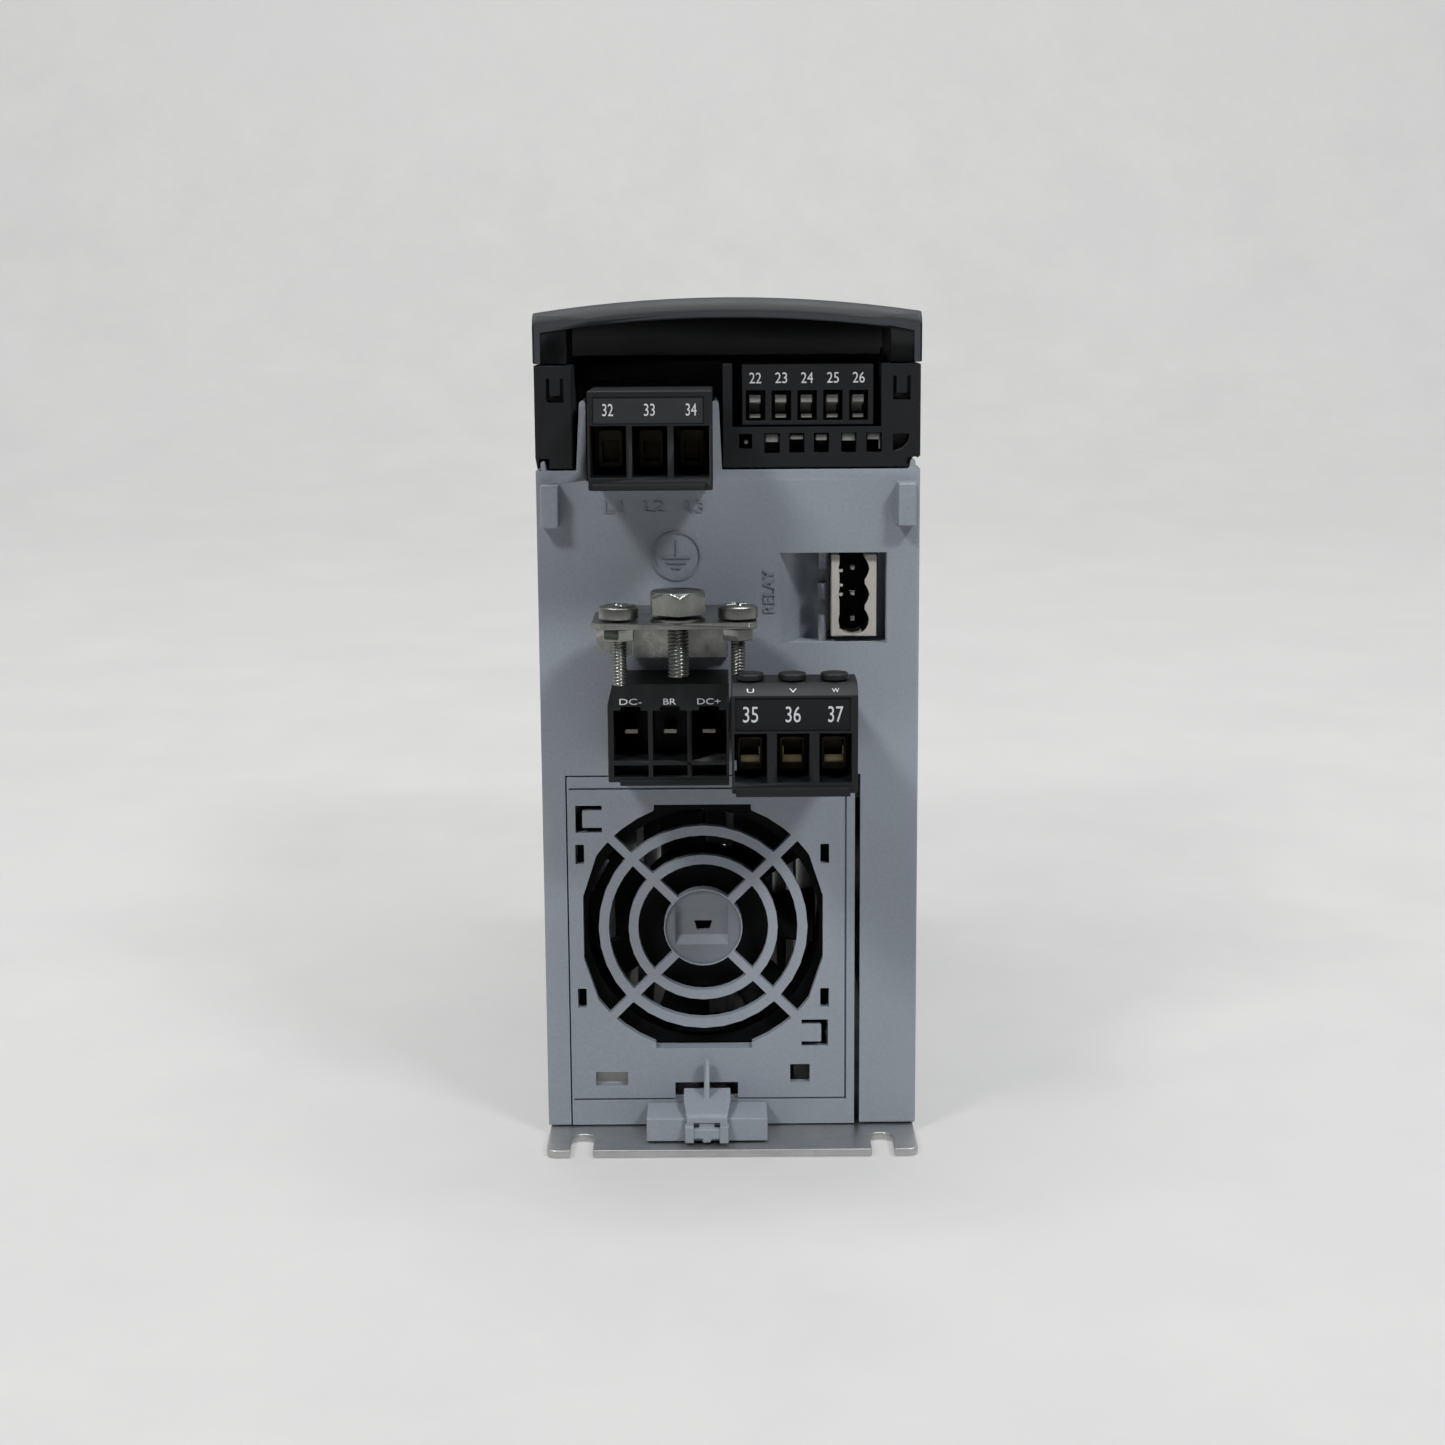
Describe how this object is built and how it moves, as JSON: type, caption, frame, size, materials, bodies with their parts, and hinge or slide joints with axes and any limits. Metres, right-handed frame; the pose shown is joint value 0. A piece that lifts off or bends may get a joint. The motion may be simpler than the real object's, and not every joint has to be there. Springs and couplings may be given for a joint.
{
  "type": "variable frequency drive",
  "caption": "Compact book-style variable frequency drive with plug-in mains, DC and motor terminals, relay socket, earth bracket and a pull-out cooling fan on its connection end.",
  "frame": {"origin": "centre of the back plate's underside", "axes": "+Z out of the back plate towards the front cover, +Y from the connection end to the top end, +X across the width to the right seen from the connection end"},
  "size_m": [0.0752, 0.2322, 0.168],
  "materials": {
    "grey_plastic": "fine matte moulded texture",
    "black_plastic": "satin black",
    "cover_plastic": "dark grey, fine texture",
    "beige_plastic": "satin",
    "bare_aluminium": "mill finish",
    "zinc_steel": "bright zinc plating",
    "brass": "tinned brass",
    "circuit_board": "solder mask",
    "capacitor_sleeve": "shrink sleeve",
    "copper": "enamelled copper winding",
    "lens_plastic": "translucent light pipe"
  },
  "bodies": {
    "base": {"back_plate": "bare_aluminium", "heat_sink": "bare_aluminium", "main_housing": "grey_plastic", "control_housing": "black_plastic", "status_lens": "lens_plastic", "mains_header": "black_plastic", "dc_header": "black_plastic", "motor_header": "black_plastic", "relay_header": "beige_plastic", "control_terminals": "black_plastic", "pe_bracket": "zinc_steel", "pe_washer": "zinc_steel", "pe_nut_left": "zinc_steel", "pe_nut_right": "zinc_steel", "power_board": "circuit_board", "power_module": "black_plastic", "capacitor_1": "capacitor_sleeve", "capacitor_2": "capacitor_sleeve", "line_choke": "copper", "control_board": "circuit_board", "relay_pin_1": "zinc_steel", "relay_pin_2": "zinc_steel", "relay_pin_3": "zinc_steel", "control_clamp_1": "zinc_steel", "control_clamp_2": "zinc_steel", "control_clamp_3": "zinc_steel", "control_clamp_4": "zinc_steel", "control_clamp_5": "zinc_steel"},
    "front_cover": {"front_cover": "cover_plastic"},
    "blind_cover": {"blind_cover": "black_plastic"},
    "fan_module": {"fan_cover": "grey_plastic", "latch_receiver": "grey_plastic", "fan_frame": "black_plastic"},
    "fan_rotor": {"fan_rotor": "black_plastic"},
    "fan_latch": {"fan_latch": "grey_plastic"},
    "mains_plug": {"mains_plug": "black_plastic", "mains_clamp_1": "brass", "mains_clamp_2": "brass", "mains_clamp_3": "brass"},
    "dc_plug": {"dc_plug": "black_plastic", "dc_blade_1": "zinc_steel", "dc_blade_2": "zinc_steel", "dc_blade_3": "zinc_steel"},
    "motor_plug": {"motor_plug": "black_plastic", "motor_clamp_1": "brass", "motor_clamp_2": "brass", "motor_clamp_3": "brass"},
    "motor_screw_1": {"motor_screw_1": "black_plastic"},
    "motor_screw_2": {"motor_screw_2": "black_plastic"},
    "motor_screw_3": {"motor_screw_3": "black_plastic"},
    "pe_bolt": {"pe_bolt": "zinc_steel"},
    "pe_screw_left": {"pe_screw_left": "zinc_steel"},
    "pe_screw_right": {"pe_screw_right": "zinc_steel"}
  },
  "joints": [
    {"name": "front_cover_slide", "type": "slide", "parent": "base", "child": "front_cover", "axis": [0, -1, 0], "range_m": [0, 0.06]},
    {"name": "blind_cover_lift", "type": "slide", "parent": "base", "child": "blind_cover", "axis": [0, 0, 1], "range_m": [0, 0.02]},
    {"name": "fan_module_slide", "type": "slide", "parent": "base", "child": "fan_module", "axis": [0, -1, 0], "range_m": [0, 0.05]},
    {"name": "fan_spin", "type": "hinge", "parent": "fan_module", "child": "fan_rotor", "pos_m": [-0.00555, -0.081, 0.0432], "axis": [0, 1, 0], "continuous": true},
    {"name": "fan_latch_flex", "type": "hinge", "parent": "fan_module", "child": "fan_latch", "pos_m": [-0.005, -0.0913, 0.0081], "axis": [-1, 0, 0], "range_deg": [0, 8], "stiffness_Nm_per_rad": 0.6},
    {"name": "mains_plug_slide", "type": "slide", "parent": "base", "child": "mains_plug", "axis": [0, -1, 0], "range_m": [0, 0.015]},
    {"name": "dc_plug_slide", "type": "slide", "parent": "base", "child": "dc_plug", "axis": [0, -1, 0], "range_m": [0, 0.015]},
    {"name": "motor_plug_slide", "type": "slide", "parent": "base", "child": "motor_plug", "axis": [0, -1, 0], "range_m": [0, 0.015]},
    {"name": "motor_screw_1_turn", "type": "hinge", "parent": "motor_plug", "child": "motor_screw_1", "pos_m": [0.00375, -0.1215, 0.0986], "axis": [0, 0, 1], "continuous": true},
    {"name": "motor_screw_2_turn", "type": "hinge", "parent": "motor_plug", "child": "motor_screw_2", "pos_m": [0.01153, -0.1215, 0.0986], "axis": [0, 0, 1], "continuous": true},
    {"name": "motor_screw_3_turn", "type": "hinge", "parent": "motor_plug", "child": "motor_screw_3", "pos_m": [0.01931, -0.1215, 0.0986], "axis": [0, 0, 1], "continuous": true},
    {"name": "pe_bolt_turn", "type": "hinge", "parent": "base", "child": "pe_bolt", "pos_m": [-0.0096, -0.1127, 0.108], "axis": [0, 0, 1], "continuous": true},
    {"name": "pe_screw_left_turn", "type": "hinge", "parent": "base", "child": "pe_screw_left", "pos_m": [-0.0207, -0.1127, 0.108], "axis": [0, 0, 1], "continuous": true},
    {"name": "pe_screw_right_turn", "type": "hinge", "parent": "base", "child": "pe_screw_right", "pos_m": [0.0016, -0.1127, 0.108], "axis": [0, 0, 1], "continuous": true}
  ]
}
